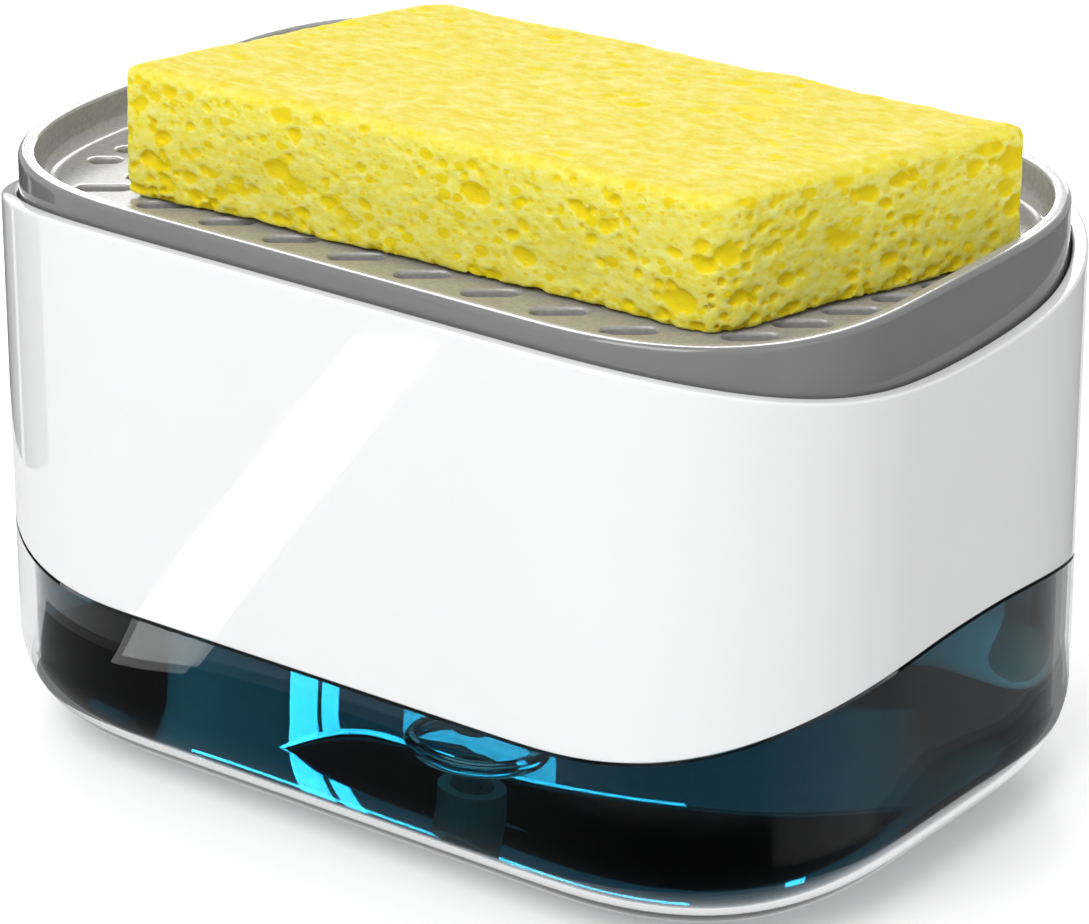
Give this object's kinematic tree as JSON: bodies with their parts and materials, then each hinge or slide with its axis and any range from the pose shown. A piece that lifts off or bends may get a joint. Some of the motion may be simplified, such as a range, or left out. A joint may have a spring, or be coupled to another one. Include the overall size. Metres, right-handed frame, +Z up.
{
  "type": "dish soap pump dispenser",
  "caption": "Clear reservoir under a white sleeve, with a slotted grey tray that is pressed down to pump soap up onto the sponge lying in it.",
  "frame": {"origin": "middle of the footprint, on the surface that the feet stand on", "axes": "+X along the long side, +Y to the back, +Z up"},
  "size_m": [0.14, 0.0974, 0.0965],
  "materials": {
    "clear_plastic": "clear, glossy",
    "white_plastic": "glossy",
    "grey_plastic": "glossy",
    "pump_plastic": "satin",
    "tube_plastic": "milky, flexible",
    "rubber": "matte",
    "silicone": "soft",
    "steel": "drawn wire",
    "glass_ball": "polished",
    "cellulose_sponge": "porous, soft"
  },
  "bodies": {
    "base": {"reservoir": "clear_plastic", "foot_1": "rubber", "foot_2": "rubber", "foot_3": "rubber", "foot_4": "rubber"},
    "housing": {"sleeve": "white_plastic", "pump_deck": "white_plastic", "neck_gasket": "silicone", "cylinder_gasket": "silicone", "pump_cylinder": "pump_plastic", "lock_ring": "pump_plastic", "stem_guide": "pump_plastic", "inlet_retainer": "pump_plastic", "dip_tube": "tube_plastic", "return_spring": "steel"},
    "press": {"press_tray": "grey_plastic", "outlet_nozzle": "pump_plastic", "socket_seal": "rubber", "plunger_stem": "pump_plastic", "piston_rod": "pump_plastic", "piston": "silicone"},
    "loose_sponge": {"sponge": "cellulose_sponge"},
    "inlet_valve": {"inlet_ball": "glass_ball"},
    "outlet_valve": {"outlet_ball": "glass_ball"}
  },
  "joints": [
    {"name": "housing_lift", "type": "slide", "parent": "base", "child": "housing", "axis": [0, 0, 1], "range_m": [0, 0.055]},
    {"name": "press_slide", "type": "slide", "parent": "housing", "child": "press", "axis": [0, 0, -1], "range_m": [0, 0.009], "stiffness_N_per_m": 450, "springref_m": -0.01, "deforming": ["return_spring"]},
    {"name": "sponge_lift", "type": "slide", "parent": "press", "child": "loose_sponge", "axis": [0, 0, 1], "range_m": [0, 0.05]},
    {"name": "inlet_ball_lift", "type": "slide", "parent": "housing", "child": "inlet_valve", "axis": [0, 0, 1], "range_m": [0, 0.001]},
    {"name": "outlet_ball_lift", "type": "slide", "parent": "press", "child": "outlet_valve", "axis": [0, 0, 1], "range_m": [0, 0.001]}
  ]
}
